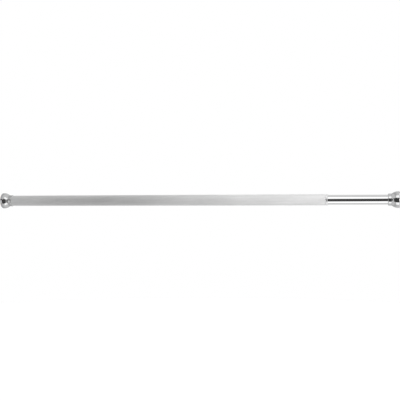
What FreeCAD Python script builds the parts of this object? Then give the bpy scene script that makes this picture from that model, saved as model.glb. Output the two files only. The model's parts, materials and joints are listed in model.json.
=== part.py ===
"""Spring tension rod: two telescoping tubes, a twist lock and a spring stroke.

The rod's axis is X. x = 0 is the face that the fixed end presses on its wall,
and the sliding end points to +X. All sizes are in millimetres.
"""
import FreeCAD, Part
import math
import os

# Large tube and the stretch of small tube that shows
OUTER_OD = 25.4
OUTER_WALL = 0.6
OUTER_LENGTH = 795.1
INNER_WALL = 0.6
INNER_SHOWN = 132.8

# End caps: a straight neck on the tube and a bell towards the wall
CAP_LENGTH = 25.5
CAP_WALL = 1.2
CAP_BELL_OD = 38.2
CAP_BELL_ARC = 21.0
CAP_BELL_RIM = 3.3
CAP_RIM_ROUND = 0.9
CAP_CREASE_ROUND = 4.0
FIXED_LIP_ROUND = 1.0
SLIDING_LIP_ROUND = 2.3

# Rubber wall pads
PAD_PROUD = 1.2
PAD_THICKNESS = 4.2
PAD_EDGE_ROUND = 0.6
PAD_STEM_OD = 5.0
PAD_BARB_STEP = 0.7
PAD_BARB_LENGTH = 1.8
PAD_GROOVE_WIDTH = 1.2
PAD_GROOVE_DEPTH = 0.5
PAD_GROOVE_INSET = 3.2
PAD_GROOVE_SPACING = 4.0
PAD_GROOVE_COUNT = 3

# Nylon end plugs
PLUG_FLANGE_THICKNESS = 3.0
PLUG_HUB_LENGTH = 3.45
PLUG_WEB = 4.5
PLUG_SPIGOT_LENGTH = 18.0
PLUG_SPIGOT_WALL = 2.8
PLUG_RIB_COUNT = 6
PLUG_RIB_WIDTH = 1.4
PLUG_RIB_HEIGHT = 0.35
PLUG_GUSSET_WIDTH = 1.6
PLUG_RIB_SHORT = 1.0
PLUG_ROOT = 1.0

# Chrome collar in the outer tube's mouth
COLLAR_LENGTH = 4.7
COLLAR_CROWN = 0.9
COLLAR_DROP = 0.5
COLLAR_NOSE_ROUND = 0.3
COLLAR_SPIGOT_LENGTH = 12.0
COLLAR_SPIGOT_WALL = 0.5
COLLAR_LEAD = 1.0
COLLAR_RUN = 0.12

# Punch marks that stake the tubes to the plastic pieces inside them
MARK_COUNT = 3
MARK_OD = 3.2
MARK_DEPTH = 0.9

# Guide bush in the inner tube's hidden end
BUSH_FLANGE = 4.0
BUSH_SPIGOT_LENGTH = 18.0
BUSH_RUN = 0.25

# Screw rod
THREAD_OD = 8.0
SHANK_STEP = 0.75
SHANK_FLAT_DEPTH = 0.95
SHANK_RUN = 0.15
TAIL_STEP = 0.5
TAIL_LENGTH = 5.5
TIP_LENGTH = 3.0
TIP_CHAMFER = 1.0
CLIP_GROOVE_DEPTH = 0.6
SPRING_STROKE = 35.0
STROKE_SPARE = 2.0
CLOSING_ROOM = 105.0

# Twist lock: two cones that spread a slotted sleeve
SLEEVE_LENGTH = 30.0
SLEEVE_RUN = 0.25
SLEEVE_CONE_ROOM = 0.2
CONE_FLANGE_RUN = 0.8
CONE_STEP = 0.7
CONE_TAPER_LENGTH = 9.0
CONE_SLOPE = 1 / 3
CONE_STANDOFF = 1.4
CONE_RUN = 0.1
BASE_CONE_FLANGE = 3.0
NUT_FLANGE = 5.0
SLOT_COUNT = 3
SLOT_WIDTH = 3.0
SLOT_LENGTH = 20.0
KEY_RUN = 0.2
KEY_LENGTH = 7.2
NUT_TRAVEL = 3.0
GRIP_RING_SECTION = 1.8
GRIP_RING_SPACING = 12.4
GRIP_RING_RUN = 0.1
THRUST_WASHER_RIM = 5.0
THRUST_WASHER_THICKNESS = 1.2
CLIP_THICKNESS = 1.0
CLIP_RIM = 3.6
CLIP_LOBE = 1.1
CLIP_RELIEF_COUNT = 4

# Spring and its seats
SPRING_WIRE = 1.8
SPRING_WIRE_FLATS = 8
SPRING_ROOM = 1.93
SPRING_LENGTH = 60.0
SPRING_TURNS = 8
SPRING_END_GAP = 0.15
FOLLOWER_RUN = 0.6
FOLLOWER_THICKNESS = 1.5
PILOT_LENGTH = 3.0
PILOT_RUN = 0.3
STOP_LENGTH = 12.0
STOP_BORE = 6.0

# Clearances
FIT = 0.05
SEAT_GAP = 0.1

# Radii that follow from the sizes above
OUTER_R = OUTER_OD / 2
OUTER_BORE_R = OUTER_R - OUTER_WALL
COLLAR_BORE_R = OUTER_BORE_R - FIT - COLLAR_SPIGOT_WALL
INNER_R = COLLAR_BORE_R - COLLAR_RUN
INNER_BORE_R = INNER_R - INNER_WALL
CAP_NECK_R = OUTER_R + FIT + CAP_WALL
CAP_BELL_R = CAP_BELL_OD / 2
THREAD_R = THREAD_OD / 2
SHANK_R = THREAD_R + SHANK_STEP
SHANK_FLAT_R = SHANK_R - SHANK_FLAT_DEPTH
TAIL_R = THREAD_R - TAIL_STEP
CLIP_GROOVE_R = TAIL_R - CLIP_GROOVE_DEPTH
CONE_FLANGE_R = OUTER_BORE_R - CONE_FLANGE_RUN
CONE_BIG_R = CONE_FLANGE_R - CONE_STEP
CONE_SMALL_R = CONE_BIG_R - CONE_TAPER_LENGTH * CONE_SLOPE
SPRING_R = INNER_BORE_R - SPRING_ROOM - SPRING_WIRE / 2
PILOT_R = SPRING_R - SPRING_WIRE / 2 - PILOT_RUN
HALF_STEP = 180.0 / SLOT_COUNT

# Places along the axis, from the fixed end to the sliding end
PLUG_HUB_X = PAD_THICKNESS + FIT + PLUG_FLANGE_THICKNESS
TUBE_END = PLUG_HUB_X + PLUG_HUB_LENGTH
NECK_EDGE = PAD_PROUD + CAP_LENGTH
MOUTH_X = TUBE_END + OUTER_LENGTH
SET_LENGTH = MOUTH_X + COLLAR_LENGTH + INNER_SHOWN + NECK_EDGE
TIP_X = TUBE_END + PLUG_SPIGOT_LENGTH + CLOSING_ROOM
END_CLIP_X = TIP_X + TIP_LENGTH
NUT_X0 = END_CLIP_X + CLIP_THICKNESS + NUT_TRAVEL + STROKE_SPARE
NUT_TAPER_X = NUT_X0 + NUT_FLANGE
SLEEVE_X0 = NUT_TAPER_X + CONE_STANDOFF
SLEEVE_X1 = SLEEVE_X0 + SLEEVE_LENGTH
BASE_CONE_X1 = SLEEVE_X1 + CONE_STANDOFF + BASE_CONE_FLANGE
SHOULDER_X = BASE_CONE_X1 + THRUST_WASHER_THICKNESS
BUSH_X0 = SHOULDER_X + SPRING_STROKE + STROKE_SPARE
INNER_X0 = BUSH_X0 + BUSH_FLANGE
BUSH_X1 = INNER_X0 + BUSH_SPIGOT_LENGTH
FOLLOWER_X0 = BUSH_X1 + SEAT_GAP
SPRING_X0 = FOLLOWER_X0 + FOLLOWER_THICKNESS
SPRING_X1 = SPRING_X0 + SPRING_LENGTH

ORIGIN = FreeCAD.Vector(0, 0, 0)
X_AXIS = FreeCAD.Vector(1, 0, 0)
Z_AXIS = FreeCAD.Vector(0, 0, 1)


def at(x, r):
    """The point at x along the rod and r above its axis."""
    return FreeCAD.Vector(x, 0, r)


def line(a, b):
    """Straight edge between two (x, r) points."""
    return Part.LineSegment(at(*a), at(*b)).toShape()


def arc(centre, radius, a, b):
    """Round edge about an (x, r) centre, from (x, r) point a to point b, the short way."""
    middle = at(*a).add(at(*b)).multiply(0.5)
    outward = middle.sub(at(*centre)).normalize()
    crown = at(*centre).add(outward.multiply(radius))
    return Part.Arc(at(*a), crown, at(*b)).toShape()


def turned(edges):
    """Solid of revolution about the rod's axis from a closed chain of (x, r) edges."""
    solid = Part.Face(Part.Wire(edges)).revolve(ORIGIN, X_AXIS, 360)
    return Part.Solid(solid.Shells[0])


def turned_polygon(*points):
    """Solid of revolution whose outline is straight between (x, r) points."""
    ends = points[1:] + points[:1]
    return turned([line(a, b) for a, b in zip(points, ends)])


def rod(x0, x1, radius):
    """Round bar on the rod's axis."""
    return Part.makeCylinder(radius, x1 - x0, at(x0, 0), X_AXIS)


def ring(x0, x1, outer_r, inner_r):
    """Round tube on the rod's axis."""
    return rod(x0, x1, outer_r).cut(rod(x0, x1, inner_r))


def block(x0, x1, z0, z1, width):
    """Box that stands above the axis, centred across it."""
    return Part.makeBox(x1 - x0, width, z1 - z0, FreeCAD.Vector(x0, -width / 2, z0))


def around(shape, count, start=0.0):
    """Copies of a shape, evenly spaced about the rod's axis."""
    copies = []
    for n in range(count):
        copy = shape.copy()
        copy.rotate(ORIGIN, X_AXIS, start + 360.0 * n / count)
        copies.append(copy)
    return copies


def rounded(shape, radius, *places):
    """Fillets the circular edges that lie at the given (x, r) places."""
    edges = []
    for edge in shape.Edges:
        curve = edge.Curve
        if isinstance(curve, Part.Circle):
            for x, r in places:
                if abs(curve.Center.x - x) < 1e-4 and abs(curve.Radius - r) < 1e-4:
                    edges.append(edge)
    return shape.makeFillet(radius, edges)


def end_for_end(shape, middle_x=SET_LENGTH / 2):
    """The same piece turned to point the other way, about a place on the axis."""
    turned_round = shape.copy()
    turned_round.rotate(at(middle_x, 0), Z_AXIS, 180)
    return turned_round


def punch(x, floor_r, top_r, radius):
    """Round pin that stands on the axis at x, from one height to another."""
    return Part.makeCylinder(radius, top_r - floor_r, at(x, floor_r), Z_AXIS)


def staked(tube, x, outer_r, wall):
    """A tube with round marks punched into its wall at x, all round."""
    floor_r = outer_r - MARK_DEPTH
    inside_r = outer_r - wall / 2
    bump = punch(x, floor_r - wall, inside_r, MARK_OD / 2 + wall)
    dent = punch(x, floor_r, outer_r + wall, MARK_OD / 2)
    tube = tube.fuse(around(bump, MARK_COUNT))
    return tube.cut(around(dent, MARK_COUNT)).removeSplitter()


def mark_pockets(x, outer_r, wall):
    """What the punch marks of a tube press out of the piece inside it."""
    floor_r = outer_r - MARK_DEPTH - wall - FIT
    return around(punch(x, floor_r, outer_r, MARK_OD / 2 + wall + FIT), MARK_COUNT)


def bell_radius(w):
    """Outer radius of the cap's bell, w from the wall face."""
    crown_w = PAD_PROUD + CAP_BELL_RIM
    return CAP_BELL_R - CAP_BELL_ARC + math.sqrt(CAP_BELL_ARC**2 - (w - crown_w) ** 2)


def bell_meets(radius, arc_radius):
    """How far from the wall the bell's arc comes down to a radius."""
    drop = radius - (CAP_BELL_R - CAP_BELL_ARC)
    return PAD_PROUD + CAP_BELL_RIM + math.sqrt(arc_radius**2 - drop**2)


def end_cap(tube_r, lip_round):
    """Bell cap: spun shell, open to the wall, its lip rolled in to a small tube."""
    rim_w = PAD_PROUD
    crown_w = PAD_PROUD + CAP_BELL_RIM
    centre = (crown_w, CAP_BELL_R - CAP_BELL_ARC)
    inner_arc = CAP_BELL_ARC - CAP_WALL
    inner_r = CAP_BELL_R - CAP_WALL
    bore_r = CAP_NECK_R - CAP_WALL
    lip_r = tube_r + FIT
    lip_w = NECK_EDGE - lip_round
    crease = (bell_meets(CAP_NECK_R, CAP_BELL_ARC), CAP_NECK_R)
    inner_crease = (bell_meets(bore_r, inner_arc), bore_r)
    roll = (lip_w, CAP_NECK_R - lip_round)
    outside = [
        line((rim_w, inner_r), (rim_w, CAP_BELL_R)),
        line((rim_w, CAP_BELL_R), (crown_w, CAP_BELL_R)),
        arc(centre, CAP_BELL_ARC, (crown_w, CAP_BELL_R), crease),
        line(crease, (lip_w, CAP_NECK_R)),
        arc(roll, lip_round, (lip_w, CAP_NECK_R), (NECK_EDGE, roll[1])),
        line((NECK_EDGE, roll[1]), (NECK_EDGE, lip_r)),
    ]
    if tube_r < OUTER_R:
        lip_back = NECK_EDGE - CAP_WALL
        inside = [
            line((NECK_EDGE, lip_r), (lip_back, lip_r)),
            line((lip_back, lip_r), (lip_back, roll[1])),
            arc(roll, bore_r - roll[1], (lip_back, roll[1]), (lip_w, bore_r)),
            line((lip_w, bore_r), inner_crease),
        ]
    else:
        inside = [line((NECK_EDGE, bore_r), inner_crease)]
    inside += [
        arc(centre, inner_arc, inner_crease, (crown_w, inner_r)),
        line((crown_w, inner_r), (rim_w, inner_r)),
    ]
    cap = turned(outside + inside)
    cap = rounded(cap, CAP_CREASE_ROUND, crease)
    cap = rounded(cap, CAP_CREASE_ROUND + CAP_WALL, inner_crease)
    return rounded(cap, CAP_RIM_ROUND, (rim_w, CAP_BELL_R))


def wall_pad():
    """Rubber foot: grooved disc with a barbed stem that snaps into the plug."""
    seat_r = CAP_BELL_R - CAP_WALL - 2 * FIT
    proud_r = seat_r - PAD_EDGE_ROUND
    pad = rod(0, PAD_THICKNESS, proud_r)
    pad = rounded(pad, PAD_EDGE_ROUND, (0, proud_r))
    pad = pad.fuse(rod(PAD_PROUD + SEAT_GAP, PAD_THICKNESS, seat_r))
    stem_end = PAD_THICKNESS + PLUG_WEB + SEAT_GAP
    pad = pad.fuse(rod(PAD_THICKNESS, stem_end, PAD_STEM_OD / 2))
    barb = turned_polygon(
        (stem_end, 0),
        (stem_end, PAD_STEM_OD / 2 + PAD_BARB_STEP),
        (stem_end + PAD_BARB_LENGTH, PAD_STEM_OD / 2 - SEAT_GAP),
        (stem_end + PAD_BARB_LENGTH, 0),
    )
    pad = pad.fuse(barb)
    for n in range(PAD_GROOVE_COUNT):
        r = proud_r - PAD_GROOVE_INSET - n * PAD_GROOVE_SPACING
        half = PAD_GROOVE_WIDTH / 2
        pad = pad.cut(ring(0, PAD_GROOVE_DEPTH, r + half, r - half))
    return pad.removeSplitter()


def end_plug(tube_bore_r, tube_r, tube_wall):
    """Nylon plug: flange in the bell, gussets, and a ribbed spigot in the tube."""
    flange_w = PAD_THICKNESS + FIT
    hub_w = PLUG_HUB_X
    flange_r = bell_radius(hub_w) - CAP_WALL - 2 * FIT
    spigot_w = TUBE_END + PLUG_SPIGOT_LENGTH
    spigot_r = tube_bore_r - FIT - PLUG_RIB_HEIGHT
    plug = rod(flange_w, hub_w, flange_r)
    plug = plug.fuse(rod(hub_w, TUBE_END, tube_r))
    plug = plug.fuse(rod(TUBE_END, spigot_w, spigot_r))
    rib_w = spigot_w - PLUG_RIB_SHORT
    rib = block(TUBE_END, rib_w, spigot_r - PLUG_ROOT, tube_bore_r - FIT, PLUG_RIB_WIDTH)
    root_r = tube_r - PLUG_ROOT
    gusset_edges = [
        line((hub_w, root_r), (hub_w, flange_r - PLUG_ROOT)),
        line((hub_w, flange_r - PLUG_ROOT), (TUBE_END, tube_r)),
        line((TUBE_END, tube_r), (TUBE_END, root_r)),
        line((TUBE_END, root_r), (hub_w, root_r)),
    ]
    gusset = Part.Face(Part.Wire(gusset_edges))
    gusset = gusset.extrude(FreeCAD.Vector(0, PLUG_GUSSET_WIDTH, 0))
    gusset.translate(FreeCAD.Vector(0, -PLUG_GUSSET_WIDTH / 2, 0))
    plug = plug.fuse(around(rib, PLUG_RIB_COUNT, 180.0 / PLUG_RIB_COUNT))
    plug = plug.fuse(around(gusset, PLUG_RIB_COUNT))
    bore_w = PAD_THICKNESS + PLUG_WEB
    plug = plug.cut(rod(bore_w, spigot_w, spigot_r - PLUG_SPIGOT_WALL))
    plug = plug.cut(rod(0, bore_w, PAD_STEM_OD / 2 + FIT))
    plug = plug.cut(mark_pockets(plug_mark_w(), tube_r, tube_wall))
    return plug.removeSplitter()


def plug_mark_w():
    """How far from the wall the tubes are staked to their plugs, under the cap's neck."""
    return TUBE_END + PLUG_SPIGOT_LENGTH / 2


def outer_tube():
    """Large tube, staked to the fixed end's plug under its cap."""
    tube = ring(TUBE_END, MOUTH_X, OUTER_R, OUTER_BORE_R)
    return staked(tube, plug_mark_w(), OUTER_R, OUTER_WALL)


def mouth_collar():
    """Polished bead on the outer tube's cut edge, with a spigot that guides the inner tube."""
    bore_r = COLLAR_BORE_R
    spigot_r = OUTER_BORE_R - FIT
    edge_r = OUTER_R - COLLAR_DROP
    nose_x = MOUTH_X + COLLAR_LENGTH
    back_x = MOUTH_X - COLLAR_SPIGOT_LENGTH
    half = COLLAR_LENGTH / 2
    bead_r = (half**2 + COLLAR_CROWN**2) / (2 * COLLAR_CROWN)
    centre = (MOUTH_X + half, edge_r + COLLAR_CROWN - bead_r)
    collar = turned([
        line((nose_x, bore_r), (nose_x, edge_r)),
        arc(centre, bead_r, (nose_x, edge_r), (MOUTH_X, edge_r)),
        line((MOUTH_X, edge_r), (MOUTH_X, spigot_r)),
        line((MOUTH_X, spigot_r), (back_x + COLLAR_LEAD, spigot_r)),
        line((back_x + COLLAR_LEAD, spigot_r), (back_x, (spigot_r + bore_r) / 2)),
        line((back_x, (spigot_r + bore_r) / 2), (back_x, bore_r)),
        line((back_x, bore_r), (nose_x, bore_r)),
    ])
    return rounded(collar, COLLAR_NOSE_ROUND, (nose_x, edge_r))


def inner_tube():
    """Small tube, staked to its guide bush, its spring stop and its end plug."""
    tube = ring(INNER_X0, SET_LENGTH - TUBE_END, INNER_R, INNER_BORE_R)
    for x in (bush_mark_x(), stop_mark_x(), SET_LENGTH - plug_mark_w()):
        tube = staked(tube, x, INNER_R, INNER_WALL)
    return tube


def bush_mark_x():
    """Where the inner tube is staked to the guide bush."""
    return INNER_X0 + BUSH_SPIGOT_LENGTH / 2


def stop_mark_x():
    """Where the inner tube is staked to the spring stop."""
    return SPRING_X1 + STOP_LENGTH / 2


def double_d(x0, x1, run=0.0):
    """The flatted shank between two places, or with a run the hole that drives it."""
    flat_r = SHANK_FLAT_R + run
    slab = block(x0, x1, -flat_r, flat_r, 3 * SHANK_R)
    return rod(x0, x1, SHANK_R + run).common(slab)


def guide_bush():
    """Plastic bush that carries the shank, turns it, and runs in the outer tube."""
    bush = rod(BUSH_X0, INNER_X0, OUTER_BORE_R - BUSH_RUN)
    bush = bush.fuse(rod(INNER_X0, BUSH_X1, INNER_BORE_R - FIT))
    bush = bush.cut(double_d(BUSH_X0, BUSH_X1, SHANK_RUN))
    bush = bush.cut(mark_pockets(bush_mark_x(), INNER_R, INNER_WALL))
    return bush.removeSplitter()


def screw_rod():
    """Steel rod: threaded end, flatted shank, and a grooved tail for the follower."""
    tail_x = FOLLOWER_X0 + TAIL_LENGTH
    bar = turned_polygon(
        (TIP_X, 0),
        (TIP_X, THREAD_R - TIP_CHAMFER),
        (TIP_X + TIP_CHAMFER, THREAD_R),
        (SHOULDER_X, THREAD_R),
        (SHOULDER_X, 0),
    )
    bar = bar.fuse(double_d(SHOULDER_X, FOLLOWER_X0))
    bar = bar.fuse(rod(FOLLOWER_X0, tail_x, TAIL_R))
    for x in (END_CLIP_X, tail_clip_x()):
        bar = bar.cut(ring(x - FIT, x + CLIP_THICKNESS + FIT, SHANK_R, CLIP_GROOVE_R))
    return bar.removeSplitter()


def tail_clip_x():
    """Where the clip that holds the spring follower starts."""
    return FOLLOWER_X0 + FOLLOWER_THICKNESS + FIT


def retaining_clip(x):
    """E-shaped spring steel clip in a groove of the screw rod."""
    inside_r = CLIP_GROOVE_R + FIT
    rim_r = inside_r + CLIP_RIM
    clip = ring(x, x + CLIP_THICKNESS, rim_r, inside_r)
    clip = clip.cut(block(x, x + CLIP_THICKNESS, 0, rim_r, 2 * (CLIP_GROOVE_R - 2 * FIT)))
    relief = rod(x, x + CLIP_THICKNESS, CLIP_LOBE)
    relief.translate(FreeCAD.Vector(0, 0, inside_r + CLIP_LOBE / 2))
    return clip.cut(around(relief, CLIP_RELIEF_COUNT))


def thrust_washer():
    """Steel washer between the shank's shoulder and the base cone."""
    inside_r = THREAD_R + FIT
    return ring(BASE_CONE_X1, SHOULDER_X, inside_r + THRUST_WASHER_RIM, inside_r)


def cone_nut():
    """Threaded cone that the screw rod draws into the sleeve's far end."""
    return lock_cone(NUT_FLANGE, THREAD_R + CONE_RUN)


def base_cone():
    """Cone at the screw rod's shoulder, which spreads the sleeve's near end."""
    cone = end_for_end(lock_cone(BASE_CONE_FLANGE, THREAD_R + FIT), sleeve_middle())
    cone.rotate(ORIGIN, X_AXIS, HALF_STEP)
    return cone


def lock_cone(flange, bore_r):
    """Flanged cone at the sleeve's far end, whose keys run in the sleeve's slots."""
    taper_end = NUT_TAPER_X + CONE_TAPER_LENGTH
    cone = turned_polygon(
        (NUT_TAPER_X - flange, bore_r),
        (NUT_TAPER_X - flange, CONE_FLANGE_R),
        (NUT_TAPER_X, CONE_FLANGE_R),
        (NUT_TAPER_X, CONE_BIG_R),
        (taper_end, CONE_SMALL_R),
        (taper_end, bore_r),
    )
    root_r = (bore_r + CONE_SMALL_R) / 2
    width = SLOT_WIDTH - 2 * KEY_RUN
    key = block(NUT_TAPER_X, NUT_TAPER_X + KEY_LENGTH, root_r, CONE_FLANGE_R, width)
    key = key.common(rod(NUT_TAPER_X, taper_end, CONE_FLANGE_R))
    return cone.fuse(around(key, SLOT_COUNT)).removeSplitter()


def lock_sleeve():
    """Slotted nylon sleeve with a taper in each mouth and two grooves for rings."""
    outer_r = OUTER_BORE_R - SLEEVE_RUN
    bore_r = CONE_SMALL_R + SLEEVE_CONE_ROOM
    mouth_r = CONE_BIG_R - CONE_STANDOFF * CONE_SLOPE + CONE_RUN
    depth = (mouth_r - bore_r) / CONE_SLOPE
    sleeve = turned_polygon(
        (SLEEVE_X0, mouth_r),
        (SLEEVE_X0, outer_r),
        (SLEEVE_X1, outer_r),
        (SLEEVE_X1, mouth_r),
        (SLEEVE_X1 - depth, bore_r),
        (SLEEVE_X0 + depth, bore_r),
    )
    for x in grip_ring_places():
        half = GRIP_RING_SECTION / 2 + FIT
        groove_r = grip_ring_centre() - GRIP_RING_SECTION / 2 - FIT
        sleeve = sleeve.cut(ring(x - half, x + half, outer_r, groove_r))
    round_x = SLEEVE_X0 + SLOT_LENGTH - SLOT_WIDTH / 2
    slot = block(SLEEVE_X0, round_x, 0, outer_r, SLOT_WIDTH)
    slot = slot.fuse(punch(round_x, 0, outer_r, SLOT_WIDTH / 2))
    sleeve = sleeve.cut(around(slot, SLOT_COUNT))
    far_slot = end_for_end(slot, sleeve_middle())
    return sleeve.cut(around(far_slot, SLOT_COUNT, HALF_STEP)).removeSplitter()


def sleeve_middle():
    """The middle of the lock sleeve along the rod."""
    return (SLEEVE_X0 + SLEEVE_X1) / 2


def grip_ring_places():
    """Where the two rubber rings sit along the sleeve."""
    half = GRIP_RING_SPACING / 2
    return sleeve_middle() - half, sleeve_middle() + half


def grip_ring_centre():
    """Radius of the rubber rings' centre line."""
    return OUTER_BORE_R - GRIP_RING_RUN - GRIP_RING_SECTION / 2


def grip_ring(x):
    """Rubber ring that drags in the outer tube, so the sleeve doesn't turn."""
    return Part.makeTorus(grip_ring_centre(), GRIP_RING_SECTION / 2, at(x, 0), X_AXIS)


def spring_follower():
    """Steel washer on the rod's tail, which the spring pushes on."""
    return ring(FOLLOWER_X0, SPRING_X0, INNER_BORE_R - FOLLOWER_RUN, TAIL_R + FIT)


def spring_stop():
    """Nylon plug that the spring bears on, with a pilot into its coil."""
    end_x = SPRING_X1 + STOP_LENGTH
    stop = rod(SPRING_X1, end_x, INNER_BORE_R - FIT)
    stop = stop.fuse(rod(SPRING_X1 - PILOT_LENGTH, SPRING_X1, PILOT_R))
    stop = stop.cut(rod(SPRING_X1 - PILOT_LENGTH, end_x, STOP_BORE / 2))
    return stop.cut(mark_pockets(stop_mark_x(), INNER_R, INNER_WALL)).removeSplitter()


def coil(x0, turns, pitch):
    """Wire along a helix about the rod's axis, its section drawn with a few flats."""
    helix = Part.makeHelix(pitch, pitch * turns, SPRING_R)
    corners = []
    for n in range(SPRING_WIRE_FLATS + 1):
        angle = 2 * math.pi * n / SPRING_WIRE_FLATS
        along = SPRING_WIRE / 2 * math.sin(angle)
        out = SPRING_R + SPRING_WIRE / 2 * math.cos(angle)
        corners.append(FreeCAD.Vector(out, 0, along))
    wire = Part.Wire(helix).makePipeShell([Part.makePolygon(corners)], True, True)
    wire.rotate(ORIGIN, FreeCAD.Vector(0, 1, 0), 90)
    wire.translate(FreeCAD.Vector(x0, 0, 0))
    return wire


def spring():
    """Compression spring with one closed coil at each end, ground flat."""
    end_pitch = SPRING_WIRE + SPRING_END_GAP
    active = SPRING_LENGTH - 2 * end_pitch
    wire = coil(SPRING_X0, 1, end_pitch)
    wire = wire.fuse(coil(SPRING_X0 + end_pitch, SPRING_TURNS, active / SPRING_TURNS))
    wire = wire.fuse(coil(SPRING_X1 - end_pitch, 1, end_pitch))
    return wire.common(rod(SPRING_X0, SPRING_X1, INNER_BORE_R))


def main():
    """Writes each piece to its own file."""
    fixed_plug = end_plug(OUTER_BORE_R, OUTER_R, OUTER_WALL)
    sliding_plug = end_plug(INNER_BORE_R, INNER_R, INNER_WALL)
    ring_left, ring_right = grip_ring_places()
    pieces = {
        "outer_tube": outer_tube(),
        "mouth_collar": mouth_collar(),
        "fixed_end_cap": end_cap(OUTER_R, FIXED_LIP_ROUND),
        "fixed_end_plug": fixed_plug,
        "fixed_wall_pad": wall_pad(),
        "inner_tube": inner_tube(),
        "sliding_end_cap": end_for_end(end_cap(INNER_R, SLIDING_LIP_ROUND)),
        "sliding_end_plug": end_for_end(sliding_plug),
        "sliding_wall_pad": end_for_end(wall_pad()),
        "guide_bush": guide_bush(),
        "spring_stop": spring_stop(),
        "spring": spring(),
        "screw_rod": screw_rod(),
        "spring_follower": spring_follower(),
        "follower_clip": retaining_clip(tail_clip_x()),
        "thrust_washer": thrust_washer(),
        "base_cone": base_cone(),
        "end_clip": retaining_clip(END_CLIP_X),
        "lock_sleeve": lock_sleeve(),
        "grip_ring_near": grip_ring(ring_right),
        "grip_ring_far": grip_ring(ring_left),
        "cone_nut": cone_nut(),
    }
    os.makedirs("parts", exist_ok=True)
    for name, shape in pieces.items():
        good = shape.isValid() and shape.Volume > 0
        print(name, "solids", len(shape.Solids), "volume", round(shape.Volume, 1), good)
        shape.exportStep(os.path.join("parts", name + ".step"))


main()
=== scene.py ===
"""Looks of the spring tension rod: finishes, finer shapes, studio and camera."""
import bmesh
import bpy
import json
import math
import numpy as np
from mathutils import Matrix, Vector


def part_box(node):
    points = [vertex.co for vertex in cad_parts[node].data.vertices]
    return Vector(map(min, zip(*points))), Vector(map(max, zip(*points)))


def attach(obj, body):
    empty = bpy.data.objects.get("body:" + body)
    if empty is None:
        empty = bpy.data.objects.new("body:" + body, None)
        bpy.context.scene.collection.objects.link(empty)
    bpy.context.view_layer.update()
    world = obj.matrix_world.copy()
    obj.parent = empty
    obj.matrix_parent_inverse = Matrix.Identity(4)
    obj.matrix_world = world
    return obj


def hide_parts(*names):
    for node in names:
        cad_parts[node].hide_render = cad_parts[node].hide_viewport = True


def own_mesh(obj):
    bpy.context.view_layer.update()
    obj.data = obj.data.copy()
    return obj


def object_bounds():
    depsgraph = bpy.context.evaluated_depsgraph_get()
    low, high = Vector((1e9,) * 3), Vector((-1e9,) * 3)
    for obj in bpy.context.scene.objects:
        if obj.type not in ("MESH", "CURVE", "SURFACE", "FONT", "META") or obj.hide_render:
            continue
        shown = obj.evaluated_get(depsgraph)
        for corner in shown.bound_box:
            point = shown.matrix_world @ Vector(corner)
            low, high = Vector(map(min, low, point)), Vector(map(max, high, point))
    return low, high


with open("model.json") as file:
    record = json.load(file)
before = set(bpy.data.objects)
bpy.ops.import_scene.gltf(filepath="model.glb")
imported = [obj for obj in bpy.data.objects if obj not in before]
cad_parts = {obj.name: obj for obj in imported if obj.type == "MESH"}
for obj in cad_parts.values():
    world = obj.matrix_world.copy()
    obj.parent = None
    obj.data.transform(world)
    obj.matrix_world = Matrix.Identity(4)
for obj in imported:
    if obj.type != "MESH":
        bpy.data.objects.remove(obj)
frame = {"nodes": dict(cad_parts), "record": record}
cad_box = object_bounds()

MM = 0.001

# The photo's view: a level camera near the rod's right end, turned a little to the left
FOCAL_PIXELS = 806.8
PICTURE_PIXELS = 400.0
SENSOR = 36.0
YAW = math.radians(13.835)
ROLL = math.radians(-0.185)
CAMERA_AT = (0.9666, -1.853, 0.0004)
CLIP_START = 0.01

# Sizes of the rod, in millimetres, that the frame's boxes don't give. First the clearance of
# a piece that moves in another and of a piece that sits on another.
RUN = 0.12
FIT = 0.05

# Tubes, with the small flat on their cut edges and the punch marks over the plastic inside
OUTER_WALL = 0.6
INNER_WALL = 0.6
TUBE_EDGE = 0.15
MARK_RADIUS = 2.1
MARK_DEPTH = 0.9
MARK_INSET = 9.0

# Bell caps
CAP_WALL = 1.2
CAP_BELL_RIM = 3.3
CAP_BELL_ARC = 21.0
CAP_CREASE_ROUND = 4.0
CAP_RIM_ROUND = 0.9
CAP_BACK_ROUND = 0.2
CAP_EDGE_ROUND = 0.1
CAP_NECK_R = 13.95
FIXED_LIP_ROUND = 1.0
SLIDING_LIP_ROUND = 2.3

# Bead at the large tube's mouth: its height, how far its ends lie under the skin, its length
RING_CROWN = 0.9
RING_DROP = 0.5
RING_LENGTH = 4.7
SPIGOT_LEAD = 1.0

# Wall pads: the grooves' radii, then half a groove's width at its floor and at its mouth, the
# step and the depth of the proud disc, and the stem with its barb
PAD_GROOVES = (6.0, 10.0, 14.0)
PAD_GROOVE_DEPTH = 0.5
PAD_GROOVE_FLOOR = 0.5
PAD_GROOVE_MOUTH = 0.6
PAD_GROOVE_ROUND = 0.12
PAD_STEP = 0.6
PAD_PROUD = 1.3
PAD_THICK = 4.2
PAD_STEM_R = 2.5
PAD_BARB_AT = 8.8
PAD_BARB_R = 3.2
PAD_STEM_END_R = 2.4

# Spring: round wire, working turns, and the gap at each closed end turn
SPRING_WIRE = 1.8
SPRING_TURNS = 8
SPRING_END_GAP = 0.15

# Screw rod's thread, with half its crest and one flank as shares of the pitch. It ends at a
# plain length before the shoulder, and fades out towards it.
THREAD_R = 4.0
THREAD_PITCH = 3.0
THREAD_DEPTH = 0.8
THREAD_CREST = 0.15
THREAD_FLANK = 0.2
THREAD_PLAIN = 18.0
THREAD_FADE = 2.0

# Screw rod's shank with half the distance between its flats, its tail, and its clip grooves
ROD_TIP_R = 3.0
SHANK_R = 4.75
SHANK_FLAT = 3.8
TAIL_R = 3.5
CLIP_GROOVE_R = 2.9
CLIP_PLAY = 0.05

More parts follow.
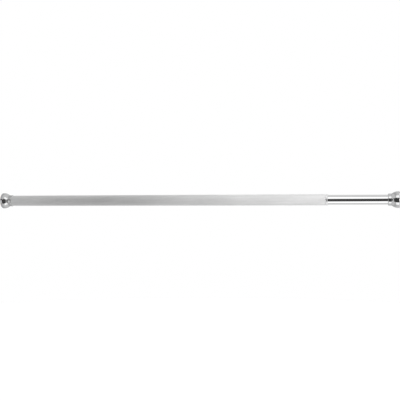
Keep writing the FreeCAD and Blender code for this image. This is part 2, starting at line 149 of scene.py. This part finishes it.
# How finely the surfaces are divided. A ring a step gap to each side of an edge keeps it sharp.
AROUND = 160
TUBE_INSET = 2.0
TUBE_STEPS = 40
MARK_STEPS = 19
BELL_STEPS = 26
COVE_STEPS = 10
RING_STEPS = 25
WIRE_AROUND = 14
COIL_STEPS = 40
ROD_AROUND = 72
THREAD_STEP = 0.25
SHANK_STEP = 3.0
TAIL_STEPS = 12
STEP_GAP = 0.004

# Light of the tent: (angle about the rod from the camera's side in degrees, level)
TENT = (
    (0, 0.09), (12, 0.07), (22, 0.03), (27, 0.05), (33, 0.75), (41, 0.84),
    (145, 0.84), (160, 1.06), (180, 1.06),
)

# What changes with the direction's share along X, as (share, value) stops.
# Degrees by which the slot is lowered
TENT_DROP = ((-1, 7.5), (-0.20, 7.5), (-0.09, 14.0), (-0.03, 13.0), (0.0, 7.5), (1, 7.5))
# Brightness of the tent
TENT_SIDE = (
    (-1, 1.05), (-0.62, 1.05), (-0.47, 0.72), (-0.38, 0.74), (-0.24, 0.89),
    (-0.08, 1.04), (1, 1.04),
)
# Share taken off the angle about the rod, which makes the slot wider
TENT_WIDER = ((-1, 0.0), (0.0, 0.0), (0.06, 0.28), (0.32, 0.28), (0.44, 0.0), (1, 0.0))
# Share of the light that is the plain end wall's, and the wall's level
TENT_END = ((-1, 0.0), (0.36, 0.0), (0.50, 0.15), (0.80, 1.0), (1, 1.0))
END_LEVEL = 0.70

# Lamps, in metres and degrees
KEY_AT = (0.95, -1.05, 0.05)
KEY_AIM = (0.84, 0.0, 0.0)
KEY_CONE = 62.0
KEY_SIZE = 0.12
KEY_POWER = 56.0
PANEL_AT = (-0.74, -1.00, -0.30)
PANEL_SIZE = (0.80, 0.9)
PANEL_LEVEL = 0.85
STRIP_X = (0.25, 1.75)
STRIP_AWAY = 1.6
STRIP_WIDTH = (0.9, 1.05)
STRIP_ANGLES = (43.0, -57.0)
STRIP_LEVEL = 0.8

# Floor, in metres: its outline as (distance from the middle, height over its top)
FLOOR_OUTLINE = (
    (0.0, 0), (1.0, 0), (2.0, 0), (2.99, 0), (3.0, -0.005), (3.0, -0.015),
    (2.99, -0.02), (2.0, -0.02), (0.0, -0.02),
)
FLOOR_HEIGHT = -0.6
FLOOR_AROUND = 96
FLOOR_GLOW = 0.38


# Surfaces

def angles(count):
    """Evenly spaced angles around, as one row."""
    return np.linspace(0, 2 * np.pi, count, endpoint=False)[None, :]


def reach(node):
    """First and last place of a CAD node along the rod, and its largest height, in millimetres."""
    low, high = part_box(node)
    return low.x / MM, high.x / MM, high.z / MM


def grid_piece(name, points, poles=False, sharp=35.0):
    """A mesh over a grid of points: rows by columns, closed along the columns. The rows
    close too, or with poles the first and the last row each shrink to one point."""
    rows, columns = points.shape[:2]
    row, column = np.meshgrid(np.arange(rows - poles), np.arange(columns), indexing="ij")
    next_row = (row + 1) % rows
    next_column = (column + 1) % columns
    corners = [(row, column), (next_row, column), (next_row, next_column), (row, next_column)]
    faces = np.stack([r * columns + c for r, c in corners], axis=-1).reshape(-1, 4)
    mesh = bpy.data.meshes.new(name)
    mesh.from_pydata((points.reshape(-1, 3) * MM).tolist(), [], faces.tolist())
    shell = bmesh.new()
    shell.from_mesh(mesh)
    bmesh.ops.remove_doubles(shell, verts=shell.verts, dist=1e-7)
    bmesh.ops.recalc_face_normals(shell, faces=shell.faces)
    shell.to_mesh(mesh)
    shell.free()
    mesh.shade_smooth()
    mesh.set_sharp_from_angle(angle=math.radians(sharp))
    piece = bpy.data.objects.new(name, mesh)
    bpy.context.scene.collection.objects.link(piece)
    return piece


def about_axis(name, x, r, poles=False):
    """Skin about the X axis: (x, r cos a, r sin a), with the radius r given by row and angle a."""
    a = angles(r.shape[1])
    points = np.stack([x + 0 * a, r * np.cos(a), r * np.sin(a)], axis=-1)
    return grid_piece(name, points, poles)


def turned(name, profile, poles=False):
    """Surface of revolution: each (x, r) point of the profile swept once around X."""
    profile = np.asarray(profile, float)
    return about_axis(name, profile[:, :1], profile[:, 1:] + np.zeros((1, AROUND)), poles)


def eased(corners, steps=7, hold=0.12):
    """Profile through (x, r, radius) corners. A corner with a radius becomes an arc that
    touches both its sides, with a point a little way out on each side to hold them flat."""
    corners = [np.array(c, float) for c in corners]
    out = []
    for before, here, after in zip(corners[-1:] + corners[:-1], corners, corners[1:] + corners[:1]):
        if here[2] == 0:
            out.append(here[None, :2])
            continue
        to_before = (before - here)[:2]
        to_after = (after - here)[:2]
        to_before /= np.linalg.norm(to_before)
        to_after /= np.linalg.norm(to_after)
        half = math.acos(np.clip(to_before @ to_after, -1, 1)) / 2
        set_back = here[2] / math.tan(half)
        middle = to_before + to_after
        centre = here[:2] + middle / np.linalg.norm(middle) * here[2] / math.sin(half)
        start = here[:2] + to_before * set_back - centre
        end = here[:2] + to_after * set_back - centre
        sweep = math.pi - 2 * half
        t = np.linspace(0, 1, steps)[:, None]
        bend = (np.sin((1 - t) * sweep) * start + np.sin(t * sweep) * end) / math.sin(sweep)
        held = [start + to_before * hold + centre, end + to_after * hold + centre]
        out.append(np.vstack([held[0], bend + centre, held[1]]))
    return np.vstack(out)


def facing_wall(profile, x0, x1, facing):
    """Puts a profile that starts at its wall face on the rod's fixed end (1) or far end (-1)."""
    profile[:, 0] = facing * profile[:, 0] + (x0 if facing > 0 else x1)
    return profile


def dished(x, a, r, places):
    """How far a tube's skin dips at angle a for round punch marks at the given places, three
    around: a cosine dish within the mark's radius, measured along the skin."""
    third = (a - math.pi / 6) % (2 * math.pi / 3) - math.pi / 3
    dip = np.zeros(np.broadcast_shapes(x.shape, a.shape))
    for place in places:
        off = np.hypot(x - place, r * third)
        dip += MARK_DEPTH * 0.5 * (1 + np.cos(np.pi * np.clip(off / MARK_RADIUS, 0, 1)))
    return dip


def stations(x0, x1, places):
    """Places along a tube: spread out where it is plain, close together at its punch marks
    and at its two cut edges."""
    near = [p + np.linspace(-MARK_RADIUS, MARK_RADIUS, MARK_STEPS) for p in places]
    hold = [x0 + TUBE_EDGE, x0 + 3 * TUBE_EDGE, x1 - 3 * TUBE_EDGE, x1 - TUBE_EDGE]
    plain = np.linspace(x0 + TUBE_INSET, x1 - TUBE_INSET, TUBE_STEPS)
    return np.unique(np.concatenate([plain, hold] + near).round(4))


def tube(name, node, wall, places):
    """Thin tube: its outer skin out, its bore back, both dished in at the punch marks, and
    the cut edges broken by a small flat."""
    x0, x1, r = reach(node)
    along = stations(x0, x1, places)
    skin = 0 * along + r
    bore = 0 * along + r - wall
    cut = [r - TUBE_EDGE, r - wall + TUBE_EDGE]
    x = np.concatenate([along, [x1, x1], along[::-1], [x0, x0]])[:, None]
    level = np.concatenate([skin, cut, bore, cut[::-1]])[:, None]
    return about_axis(name, x, level - dished(x, angles(AROUND), r, places))


def bell(name, node, lip_r, lip_round, facing):
    """Bell cap of even wall, from its wall face: a rounded rim, a long arc down to a cove,
    which is an arc that meets the bell and the neck smoothly, and a straight neck whose lip
    turns in to the tube."""
    x0, x1, r = reach(node)
    length = x1 - x0
    bore_r = CAP_NECK_R - CAP_WALL
    bell_centre = np.array([CAP_BELL_RIM, r - CAP_BELL_ARC])
    apart = CAP_BELL_ARC + CAP_CREASE_ROUND
    lean = math.acos((CAP_NECK_R + CAP_CREASE_ROUND - bell_centre[1]) / apart)
    cove_centre = bell_centre + apart * np.array([math.sin(lean), math.cos(lean)])

    def fan(count):
        t = np.linspace(0, lean, count)[:, None]
        return np.hstack([np.sin(t), np.cos(t)])

    def flank(depth):
        arc = bell_centre + (CAP_BELL_ARC - depth) * fan(BELL_STEPS)
        cove = cove_centre - (CAP_CREASE_ROUND + depth) * fan(COVE_STEPS)[::-1]
        return [(x, y, 0) for x, y in np.vstack([arc, cove[1:]])]

    corners = [(0, r - CAP_WALL, CAP_BACK_ROUND), (0, r, CAP_RIM_ROUND)] + flank(0)
    corners += [(length, CAP_NECK_R, lip_round), (length, lip_r, CAP_EDGE_ROUND)]
    if lip_r < bore_r - CAP_WALL / 4:
        # The lip reaches in past the neck's bore and has a back face of its own
        inside = length - CAP_WALL
        corners += [(inside, lip_r, CAP_EDGE_ROUND), (inside, bore_r, lip_round - CAP_WALL)]
    profile = eased(corners + flank(CAP_WALL)[::-1])
    return turned(name, facing_wall(profile, x0, x1, facing))


def wall_pad(name, node, facing):
    """Rubber foot: a disc with round-bottomed ring grooves in its face, a stepped rim, and a
    stem behind it that ends in a barb."""
    x0, x1, r = reach(node)
    proud_r = r - PAD_STEP
    stem_end = x1 - x0
    face = [(0, 0, 0)]
    for groove_r in PAD_GROOVES:
        face += [
            (0, groove_r - PAD_GROOVE_MOUTH, PAD_GROOVE_ROUND),
            (PAD_GROOVE_DEPTH, groove_r - PAD_GROOVE_FLOOR, PAD_GROOVE_ROUND),
            (PAD_GROOVE_DEPTH, groove_r + PAD_GROOVE_FLOOR, PAD_GROOVE_ROUND),
            (0, groove_r + PAD_GROOVE_MOUTH, PAD_GROOVE_ROUND),
        ]
    rim = [
        (0, proud_r, 0.6), (PAD_PROUD, proud_r, 0.1), (PAD_PROUD, r, 0.15),
        (PAD_THICK, r, 0.2), (PAD_THICK, PAD_STEM_R, 0.2),
    ]
    barb = [
        (PAD_BARB_AT, PAD_STEM_R, 0), (PAD_BARB_AT, PAD_BARB_R, 0.1),
        (stem_end, PAD_STEM_END_R, 0.3), (stem_end, 0, 0),
    ]
    profile = eased(face + rim + barb)
    return turned(name, facing_wall(profile, x0, x1, facing), poles=True)


def mouth_ring(name, node):
    """Bead on the large tube's cut edge, an arc of a small circle from edge to edge, its ends
    a little below the tube's skin, and a thin spigot behind it with a lead-in."""
    x0, x1, _ = reach(node)
    tube_r = reach("outer_tube")[2]
    bore_r = reach("inner_tube")[2] + RUN
    spigot_r = tube_r - OUTER_WALL - FIT
    half = RING_LENGTH / 2
    bead_r = (half**2 + RING_CROWN**2) / (2 * RING_CROWN)
    t = np.linspace(1, -1, RING_STEPS) * math.asin(half / bead_r)
    x = x1 - half + bead_r * np.sin(t)
    r = tube_r - RING_DROP + RING_CROWN - bead_r * (1 - np.cos(t))
    bead = np.stack([x, r, 0 * t], axis=1)
    spigot = [
        (x1 - RING_LENGTH, spigot_r, 0), (x0 + SPIGOT_LEAD, spigot_r, 0),
        (x0, (spigot_r + bore_r) / 2, 0), (x0, bore_r, 0.1),
    ]
    return turned(name, eased([(x1, bore_r, 0.15)] + bead.tolist() + spigot, hold=0.05))


def wire_spring(name, node):
    """Round wire along a helix about X: (x(t), R cos t, R sin t), a closed turn at each end,
    where x(t) rises by little more than the wire's thickness, and the ends ground flat."""
    x0, x1, r = reach(node)
    wire_r = SPRING_WIRE / 2
    coil_r = r - wire_r
    end_pitch = SPRING_WIRE + SPRING_END_GAP
    turns = SPRING_TURNS + 2
    t = np.linspace(0, turns, turns * COIL_STEPS + 1)
    x = np.interp(t, [0, 1, turns - 1, turns], [x0, x0 + end_pitch, x1 - end_pitch, x1])[:, None]
    t = 2 * np.pi * t[:, None]
    around = angles(WIRE_AROUND)
    swell = np.full(len(t), wire_r)
    swell[[0, -1]] = 0
    out = coil_r + swell[:, None] * np.cos(around)
    along = np.clip(x + swell[:, None] * np.sin(around), x0, x1)
    return grid_piece(name, np.stack([along, out * np.cos(t), out * np.sin(t)], axis=-1), poles=True)


def screw_rod(name, node):
    """Steel rod: a coarse trapezoid thread that runs out before the shoulder, a shank with
    two flats, a round tail, and a groove for each clip. Its radius at place x and angle a is
    the least of those forms there."""
    x0, x1, _ = reach(node)
    clips = [reach("end_clip")[:2], reach("follower_clip")[:2]]
    grooves = [(low - CLIP_PLAY, high + CLIP_PLAY) for low, high in clips]
    shoulder = reach("thrust_washer")[1]
    tail = reach("spring_follower")[0]
    edges = np.array([shoulder, tail] + [edge for groove in grooves for edge in groove])
    x = np.concatenate([
        np.arange(x0, shoulder, THREAD_STEP), np.arange(shoulder, tail, SHANK_STEP), [tail],
        np.linspace(tail, x1, TAIL_STEPS), edges - STEP_GAP, edges + STEP_GAP,
    ])
    x = np.unique(x[(x >= x0) & (x <= x1)].round(4))[:, None]
    a = angles(ROD_AROUND)
    turn = (x / THREAD_PITCH - a / (2 * np.pi)) % 1
    tooth = np.clip((np.abs(turn - 0.5) - THREAD_CREST) / THREAD_FLANK, 0, 1)
    fade = np.clip((shoulder - THREAD_PLAIN - x) / THREAD_FADE, 0, 1)
    r = THREAD_R - THREAD_DEPTH * tooth * fade
    r = np.minimum(r, ROD_TIP_R + (x - x0))
    flats = np.minimum(SHANK_R, SHANK_FLAT / np.maximum(np.abs(np.sin(a)), 1e-6))
    r = np.where(x > shoulder, flats + 0 * x, r)
    r = np.where(x > tail, np.minimum(TAIL_R, ROD_TIP_R + (x1 - x)), r)
    for low, high in grooves:
        r = np.where((x > low) & (x < high), np.minimum(r, CLIP_GROOVE_R), r)
    closed = np.zeros((1, a.size))
    return about_axis(name, np.vstack([x[:1], x, x[-1:]]), np.vstack([closed, r, closed]), poles=True)


# Finishes

class Finish:
    """A node material whose patterns read the piece's Object coordinates, in metres."""

    def __init__(self, name, **sockets):
        self.material = bpy.data.materials.new(name)
        self.material.use_nodes = True
        self.nodes = self.material.node_tree.nodes
        self.shader = self.nodes["Principled BSDF"]
        self.place = self.node("ShaderNodeTexCoord").outputs["Object"]
        for socket, value in sockets.items():
            self.shader.inputs[socket.replace("_", " ")].default_value = value

    def node(self, kind, **settings):
        """Adds a node and sets its properties."""
        node = self.nodes.new(kind)
        for key, value in settings.items():
            setattr(node, key, value)
        return node

    def join(self, out, into):
        """Links an output to an input."""
        self.material.node_tree.links.new(out, into)

    def noise(self, per_metre, detail=2.0, roughness=0.5):
        """Noise with so many features a metre along x, y and z."""
        mapping = self.node("ShaderNodeMapping")
        mapping.inputs["Scale"].default_value = per_metre
        self.join(self.place, mapping.inputs["Vector"])
        noise = self.node("ShaderNodeTexNoise")
        noise.inputs["Scale"].default_value = 1.0
        noise.inputs["Detail"].default_value = detail
        noise.inputs["Roughness"].default_value = roughness
        self.join(mapping.outputs["Vector"], noise.inputs["Vector"])
        return noise.outputs["Fac"]

    def cells(self, per_metre):
        """Distance to the middle of the nearest cell, with so many cells a metre."""
        cells = self.node("ShaderNodeTexVoronoi")
        cells.inputs["Scale"].default_value = per_metre
        self.join(self.place, cells.inputs["Vector"])
        return cells.outputs["Distance"]

    def between(self, source, low, high, start=0.3, end=0.7):
        """A number that goes from low to high as the source goes from start to end."""
        spread = self.node("ShaderNodeMapRange", interpolation_type="SMOOTHSTEP")
        for key, value in (("From Min", start), ("From Max", end), ("To Min", low), ("To Max", high)):
            spread.inputs[key].default_value = value
        self.join(source, spread.inputs["Value"])
        return spread.outputs["Result"]

    def combine(self, first, second, operation="ADD"):
        """Two numbers put together."""
        both = self.node("ShaderNodeMath", operation=operation)
        self.join(first, both.inputs[0])
        if isinstance(second, (int, float)):
            both.inputs[1].default_value = second
        else:
            self.join(second, both.inputs[1])
        return both.outputs["Value"]

    def colour(self, source, *stops):
        """Base colour from a ramp of (place, (r, g, b)) stops."""
        ramp = self.node("ShaderNodeValToRGB")
        elements = ramp.color_ramp.elements
        while len(elements) < len(stops):
            elements.new(0.5)
        for element, (place, rgb) in zip(elements, stops):
            element.position = place
            element.color = (*rgb, 1.0)
        self.join(source, ramp.inputs["Fac"])
        self.join(ramp.outputs["Color"], self.shader.inputs["Base Color"])

    def rough(self, source):
        """Roughness from a number."""
        self.join(source, self.shader.inputs["Roughness"])

    def bump(self, height, depth_mm, strength=1.0):
        """Bump from a height of 0 to 1, so many millimetres deep."""
        bump = self.node("ShaderNodeBump")
        bump.inputs["Strength"].default_value = strength
        bump.inputs["Distance"].default_value = depth_mm * MM
        self.join(height, bump.inputs["Height"])
        self.join(bump.outputs["Normal"], self.shader.inputs["Normal"])


def grey(level, warmth=0.0):
    """A grey colour, a little warm or cold."""
    return (level + warmth, level, level - warmth)


def satin_silver():
    """Satin lacquered tube: lengthwise drawing streaks under a very fine metal fleck."""
    finish = Finish("satin_silver", Metallic=0.7, Anisotropic=0.95)
    round_about = finish.node("ShaderNodeTangent", direction_type="RADIAL", axis="X")
    finish.join(round_about.outputs["Tangent"], finish.shader.inputs["Tangent"])
    fleck = finish.noise((900, 2200, 2200), detail=3.0, roughness=0.7)
    streak = finish.noise((6, 700, 700), detail=3.0, roughness=0.6)
    cloud = finish.noise((14, 60, 60), detail=2.0)
    mottled = finish.combine(finish.combine(fleck, streak), cloud)
    tone = finish.between(mottled, low=0, high=1, start=1.1, end=1.9)
    finish.colour(tone, (0.0, grey(0.77)), (0.55, grey(0.83)), (1.0, grey(0.89)))
    finish.rough(finish.between(fleck, low=0.46, high=0.54))
    finish.bump(finish.combine(fleck, streak), depth_mm=0.012, strength=0.5)
    return finish.material


def polished_chrome(name, lines, level=0.70, rough=0.03):
    """Polished chrome plate: faint polishing lines one way, and a haze of fine wipe marks."""
    finish = Finish(name, Metallic=1.0)
    line = finish.noise(lines, detail=3.0, roughness=0.6)
    haze = finish.noise((35, 90, 90), detail=4.0, roughness=0.6)
    dull, plain, bright = (grey(level + more, -0.002) for more in (-0.03, 0, 0.02))
    finish.colour(haze, (0.25, dull), (0.6, plain), (0.9, bright))
    lined = finish.between(line, low=rough, high=rough + 0.03)
    hazy = finish.between(haze, low=0.0, high=0.035, start=0.45, end=0.8)
    finish.rough(finish.combine(lined, hazy))
    finish.bump(line, depth_mm=0.002, strength=0.25)
    return finish.material


def moulded_nylon():
    """Natural nylon: milky, a little uneven in tone, with the mould's fine matt texture."""
    finish = Finish("natural_nylon", Subsurface_Weight=0.15, Subsurface_Scale=0.002)
    tone = finish.noise((160, 160, 160), detail=3.0)
    grain = finish.noise((2600, 2600, 2600), detail=2.0)
    finish.colour(tone, (0.3, (0.76, 0.74, 0.68)), (0.7, (0.84, 0.83, 0.78)))
    finish.rough(finish.between(grain, low=0.38, high=0.55))
    finish.bump(grain, depth_mm=0.02, strength=0.4)
    return finish.material


def rubber(name, dark, light, bloom):
    """Moulded rubber: a dull skin with a fine grain and patches of dusty bloom."""
    finish = Finish(name)
    dust = finish.noise((220, 220, 220), detail=5.0, roughness=0.65)
    grain = finish.noise((3200, 3200, 3200), detail=2.0)
    dusty = finish.between(dust, low=0, high=1, start=0.35, end=0.75)
    finish.colour(dusty, (0.0, dark), (0.6, light), (1.0, bloom))
    finish.rough(finish.between(grain, low=0.62, high=0.82))
    finish.bump(grain, depth_mm=0.03, strength=0.5)
    return finish.material


def zinc_plate():
    """Bright zinc on steel: a cold grey spangle, turning lines, and dull patches."""
    finish = Finish("zinc_plate", Metallic=1.0)
    spangle = finish.cells(900.0)
    turning = finish.noise((5200, 40, 40), detail=2.0)
    dull = finish.noise((120, 120, 120), detail=3.0)
    tone = finish.combine(finish.combine(spangle, 0.3, "MULTIPLY"), dull)
    finish.colour(tone, (0.35, (0.48, 0.50, 0.53)), (0.6, (0.60, 0.62, 0.64)), (0.9, (0.70, 0.71, 0.71)))
    finish.rough(finish.between(dull, low=0.26, high=0.42))
    finish.bump(turning, depth_mm=0.008, strength=0.35)
    return finish.material


def oiled_spring_wire():
    """Dark drawn spring steel under a thin film of oil, with brown tints."""
    finish = Finish("oiled_spring_wire", Metallic=1.0, Coat_Weight=0.35, Coat_Roughness=0.12)
    tint = finish.noise((110, 110, 110), detail=4.0, roughness=0.6)
    scratch = finish.noise((900, 2600, 2600), detail=3.0, roughness=0.7)
    finish.colour(tint, (0.3, (0.20, 0.20, 0.22)), (0.55, (0.31, 0.31, 0.32)), (0.8, (0.36, 0.32, 0.28)))
    finish.rough(finish.between(scratch, low=0.28, high=0.46))
    finish.bump(scratch, depth_mm=0.006, strength=0.4)
    return finish.material


FINISHES = {
    "satin_tube": satin_silver(),
    "polished_tube": polished_chrome("polished_tube_chrome", lines=(8, 1500, 1500)),
    "chrome_trim": polished_chrome("mouth_ring_chrome", lines=(2400, 30, 30), level=0.93, rough=0.42),
    "chrome_cap": polished_chrome("bell_cap_chrome", lines=(1800, 24, 24), level=0.58),
    "nylon": moulded_nylon(),
    "pad_rubber": rubber("pale_pad_rubber", grey(0.48, 0.004), grey(0.55, 0.004), grey(0.64, 0.003)),
    "ring_rubber": rubber("black_ring_rubber", grey(0.018), grey(0.028), grey(0.06)),
    "zinc_steel": zinc_plate(),
    "spring_steel": oiled_spring_wire(),
}


# Pieces

RECORD = frame["record"]
SLOT_OF = {row["node"]: row["material_slot"] for row in RECORD["subparts"]}
BODY_OF = {node: body for body, nodes in RECORD["behaviour"]["bodies"].items() for node in nodes}


def stand_in(piece, node):
    """Lets a finer piece stand for a CAD node, on its body and in its slot's finish."""
    piece.data.materials.append(FINISHES[SLOT_OF[node]])
    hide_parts(node)
    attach(piece, BODY_OF[node])
    return piece


# Each CAD node carries its slot's finish, also where a finer piece stands for it
for node, slot in SLOT_OF.items():
    carried = frame["nodes"][node]
    for place in range(max(1, len(carried.data.materials))):
        if carried.data.materials:
            carried.data.materials[place] = FINISHES[slot]
        else:
            carried.data.materials.append(FINISHES[slot])

# The punch marks are over the end plugs, the guide bush and the spring's stop
outer_marks = [reach("outer_tube")[0] + MARK_INSET]
inner_marks = [
    reach("guide_bush")[1] - MARK_INSET,
    reach("spring_stop")[0] + MARK_INSET,
    reach("inner_tube")[1] - MARK_INSET,
]
fixed_lip_r = reach("outer_tube")[2] + FIT
sliding_lip_r = reach("inner_tube")[2] + FIT

stand_in(tube("large_satin_tube", "outer_tube", OUTER_WALL, outer_marks), "outer_tube")
stand_in(tube("small_chrome_tube", "inner_tube", INNER_WALL, inner_marks), "inner_tube")
stand_in(mouth_ring("polished_mouth_ring", "mouth_collar"), "mouth_collar")
fixed_cap = bell("fixed_bell_cap", "fixed_end_cap", fixed_lip_r, FIXED_LIP_ROUND, 1)
stand_in(fixed_cap, "fixed_end_cap")
sliding_cap = bell("sliding_bell_cap", "sliding_end_cap", sliding_lip_r, SLIDING_LIP_ROUND, -1)
stand_in(sliding_cap, "sliding_end_cap")
stand_in(wall_pad("fixed_rubber_pad", "fixed_wall_pad", 1), "fixed_wall_pad")
stand_in(wall_pad("sliding_rubber_pad", "sliding_wall_pad", -1), "sliding_wall_pad")
stand_in(screw_rod("threaded_screw_rod", "screw_rod"), "screw_rod")
coil = stand_in(wire_spring("round_wire_spring", "spring"), "spring")
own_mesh(coil)


# Studio

def world_light():
    """A tent of soft white around the rod, open along a level slot towards the camera. Its
    light depends on the direction's angle about the rod's own axis, which gives the chrome
    its lengthwise bands. With the direction's share along the rod the slot dips and widens,
    the tent dims to the left, and at the right it gives way to a plain end wall. The camera
    itself sees plain white."""
    world = bpy.data.worlds.new("light_tent")
    bpy.context.scene.world = world
    world.use_nodes = True
    nodes, links = world.node_tree.nodes, world.node_tree.links
    background = nodes["Background"]
    background.inputs["Color"].default_value = (1, 1, 1, 1)

    def maths(operation, first, second=None):
        """A maths node on one or two numbers or sockets."""
        node = nodes.new("ShaderNodeMath")
        node.operation = operation
        for value, socket in zip((first, second), node.inputs):
            if isinstance(value, (int, float)):
                socket.default_value = value
            elif value is not None:
                links.new(value, socket)
        return node.outputs["Value"]

    def ramp(value, stops):
        """A number that follows straight lines between (place, level) stops."""
        first, last = stops[0][0], stops[-1][0]
        peak = max(level for _, level in stops)
        node = nodes.new("ShaderNodeValToRGB")
        elements = node.color_ramp.elements
        for place, level in stops:
            at = (place - first) / (last - first)
            element = elements[0] if at == 0 else elements[-1] if at == 1 else elements.new(at)
            element.color = (level / peak,) * 3 + (1.0,)
        links.new(maths("DIVIDE", maths("SUBTRACT", value, first), last - first), node.inputs["Fac"])
        return maths("MULTIPLY", node.outputs["Color"], peak)

    direction = nodes.new("ShaderNodeSeparateXYZ")
    links.new(nodes.new("ShaderNodeTexCoord").outputs["Generated"], direction.inputs["Vector"])
    along = direction.outputs["X"]
    to_camera = maths("MULTIPLY", direction.outputs["Y"], -1.0)
    turn = maths("ARCTAN2", direction.outputs["Z"], to_camera)
    turn = maths("ABSOLUTE", maths("ADD", turn, maths("RADIANS", ramp(along, TENT_DROP))))
    turn = maths("MULTIPLY", turn, maths("SUBTRACT", 1.0, ramp(along, TENT_WIDER)))
    tent = maths("MULTIPLY", ramp(maths("DEGREES", turn), TENT), ramp(along, TENT_SIDE))
    end = ramp(along, TENT_END)
    tent = maths("MULTIPLY", tent, maths("SUBTRACT", 1.0, end))
    light = maths("ADD", tent, maths("MULTIPLY", end, END_LEVEL))
    seen = nodes.new("ShaderNodeLightPath").outputs["Is Camera Ray"]
    kept = maths("MULTIPLY", light, maths("SUBTRACT", 1.0, seen))
    links.new(maths("ADD", kept, seen), background.inputs["Strength"])


def hang_lamp(lamp, at, aim):
    """Puts a lamp in the scene at one point, aimed at another."""
    holder = bpy.data.objects.new(lamp.name, lamp)
    turn = (Vector(aim) - Vector(at)).to_track_quat("-Z", "Y")
    holder.matrix_world = Matrix.Translation(at) @ turn.to_matrix().to_4x4()
    bpy.context.scene.collection.objects.link(holder)
    return holder


def key_lamp():
    """A soft-edged spot near the camera on the right part of the rod, which fades out
    towards the left. Polished metal doesn't mirror it."""
    lamp = bpy.data.lights.new("soft_key", "SPOT")
    lamp.spot_size = math.radians(KEY_CONE)
    lamp.spot_blend = 1.0
    lamp.shadow_soft_size = KEY_SIZE
    lamp.energy = KEY_POWER
    hang_lamp(lamp, KEY_AT, KEY_AIM).visible_glossy = False


def soft_panel(name, at, aim, size, level):
    """A flat soft light that looks level bright to whatever mirrors it."""
    lamp = bpy.data.lights.new(name, "AREA")
    lamp.shape = "RECTANGLE"
    lamp.size, lamp.size_y = size
    lamp.energy = level * math.pi * size[0] * size[1]
    hang_lamp(lamp, at, aim).visible_camera = False


def soft_panels():
    """A pale panel left of the camera, and a strip above and one below the slot, beside the
    right part of the rod. They are near enough that each end of the rod mirrors them its own way."""
    x, y, z = PANEL_AT
    soft_panel("left_panel", PANEL_AT, (x, 0, z), PANEL_SIZE, PANEL_LEVEL)
    middle = sum(STRIP_X) / 2
    length = STRIP_X[1] - STRIP_X[0]
    for name, degrees, width in zip(("upper_strip", "lower_strip"), STRIP_ANGLES, STRIP_WIDTH):
        lean = math.radians(degrees)
        at = (middle, -STRIP_AWAY * math.cos(lean), STRIP_AWAY * math.sin(lean))
        soft_panel(name, at, (middle, 0, 0), (length, width), STRIP_LEVEL)


def studio_floor():
    """A round pale floor under the rod, far enough down that its shadow is out of view. Its
    glow, which the camera alone sees, brings it near the plain white behind it."""
    a = angles(FLOOR_AROUND)
    outline = np.array(FLOOR_OUTLINE)
    low, high = (Vector(corner) for corner in cad_box)
    middle = (low + high) / 2
    x = middle.x + outline[:, :1] * np.cos(a)
    y = middle.y + outline[:, :1] * np.sin(a)
    points = np.stack([x, y, FLOOR_HEIGHT + outline[:, 1:] + 0 * a], axis=-1) / MM
    floor = grid_piece("studio_floor", points, poles=True)
    paint = Finish("pale_floor_paint")
    patch = paint.noise((3, 3, 3), detail=3.0)
    paint.colour(patch, (0.3, grey(0.80)), (0.7, grey(0.84)))
    paint.rough(paint.between(patch, low=0.65, high=0.8))
    seen = paint.node("ShaderNodeLightPath").outputs["Is Camera Ray"]
    paint.shader.inputs["Emission Color"].default_value = (1, 1, 1, 1)
    glow = paint.combine(seen, FLOOR_GLOW, "MULTIPLY")
    paint.join(glow, paint.shader.inputs["Emission Strength"])
    floor.data.materials.append(paint.material)
    floor.visible_glossy = False


def photo_camera():
    """Camera at the photo's place, level, turned to the left by the yaw and rolled a little."""
    camera = bpy.data.cameras.new("photo_camera")
    camera.sensor_width = SENSOR
    camera.lens = FOCAL_PIXELS / PICTURE_PIXELS * SENSOR
    camera.clip_start = CLIP_START
    holder = bpy.data.objects.new("photo_camera", camera)
    upright = Matrix.Rotation(math.pi / 2, 4, "X")
    turn = Matrix.Rotation(YAW, 4, "Z")
    roll = Matrix.Rotation(ROLL, 4, "Z")
    holder.matrix_world = Matrix.Translation(CAMERA_AT) @ turn @ upright @ roll
    bpy.context.scene.collection.objects.link(holder)
    bpy.context.scene.camera = holder


photo_camera()
world_light()
key_lamp()
soft_panels()
studio_floor()
bpy.context.scene.view_settings.view_transform = "Standard"
